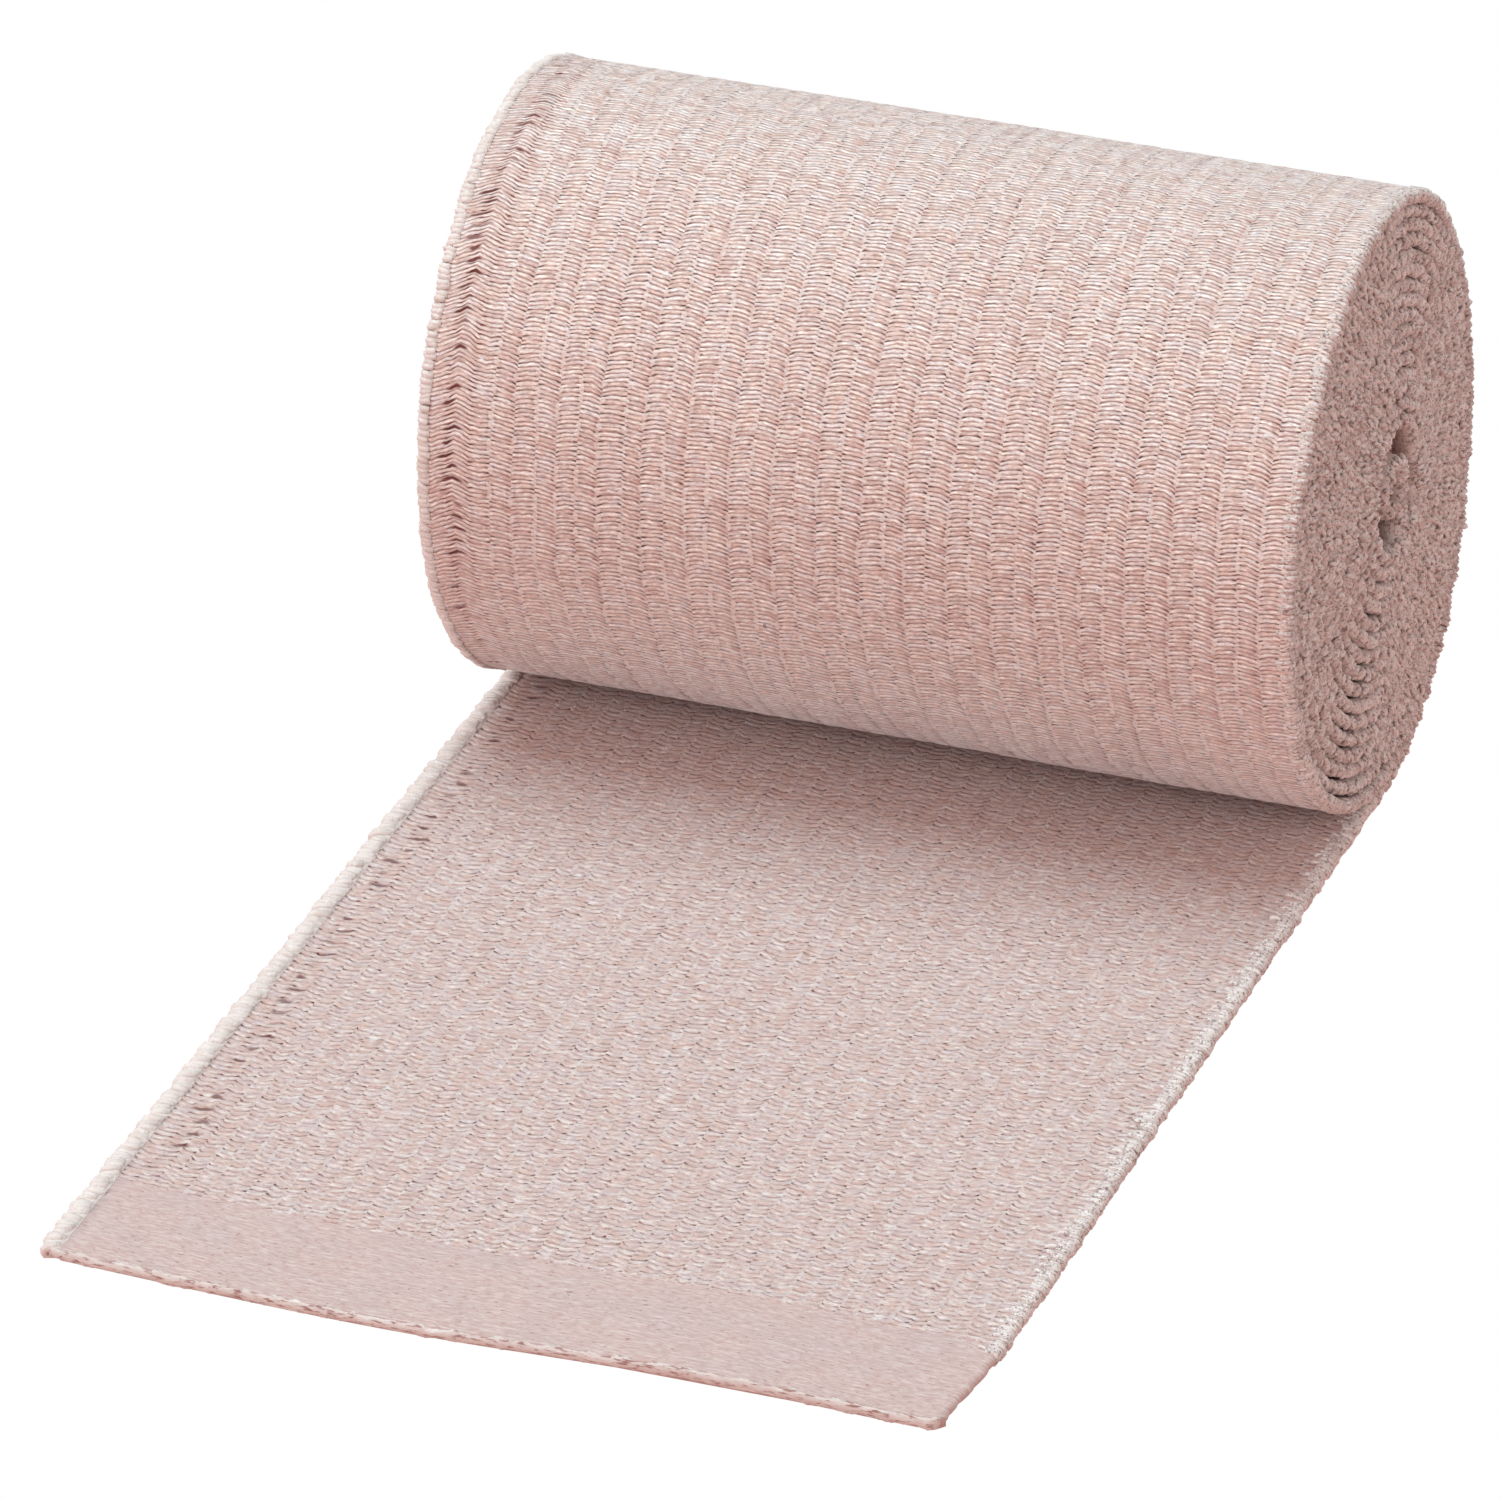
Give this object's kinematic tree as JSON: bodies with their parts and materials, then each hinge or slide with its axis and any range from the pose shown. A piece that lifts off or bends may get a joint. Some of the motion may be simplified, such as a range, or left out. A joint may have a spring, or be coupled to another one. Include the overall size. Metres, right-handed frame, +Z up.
{
  "type": "elastic bandage roll",
  "caption": "Woven elastic bandage wound into a roll, its free end with a smooth hem laid flat in front.",
  "frame": {"origin": "middle of the bounding box, on the surface that the bandage lies on", "axes": "+X along the roll to the pink selvage, +Y from the free end to the back of the roll, +Z up"},
  "size_m": [0.0816, 0.1394, 0.0575],
  "materials": {
    "flesh_weave": "ribbed crimped cotton stretch weave, matt, flesh pink with pale slubs",
    "cream_yarn": "thick undyed cotton yarn, fuzzy, off-white",
    "pink_yarn": "overcast cotton yarn loops, matt, darker flesh pink",
    "smooth_weave": "fine plain weave, smooth and matt, pale mauve pink"
  },
  "bodies": {
    "root": {"rolled_web": "flesh_weave", "laid_web": "flesh_weave", "rolled_cream_selvage": "cream_yarn", "laid_cream_selvage": "cream_yarn", "rolled_pink_selvage": "pink_yarn", "laid_pink_selvage": "pink_yarn", "end_hem": "smooth_weave"}
  },
  "joints": []
}
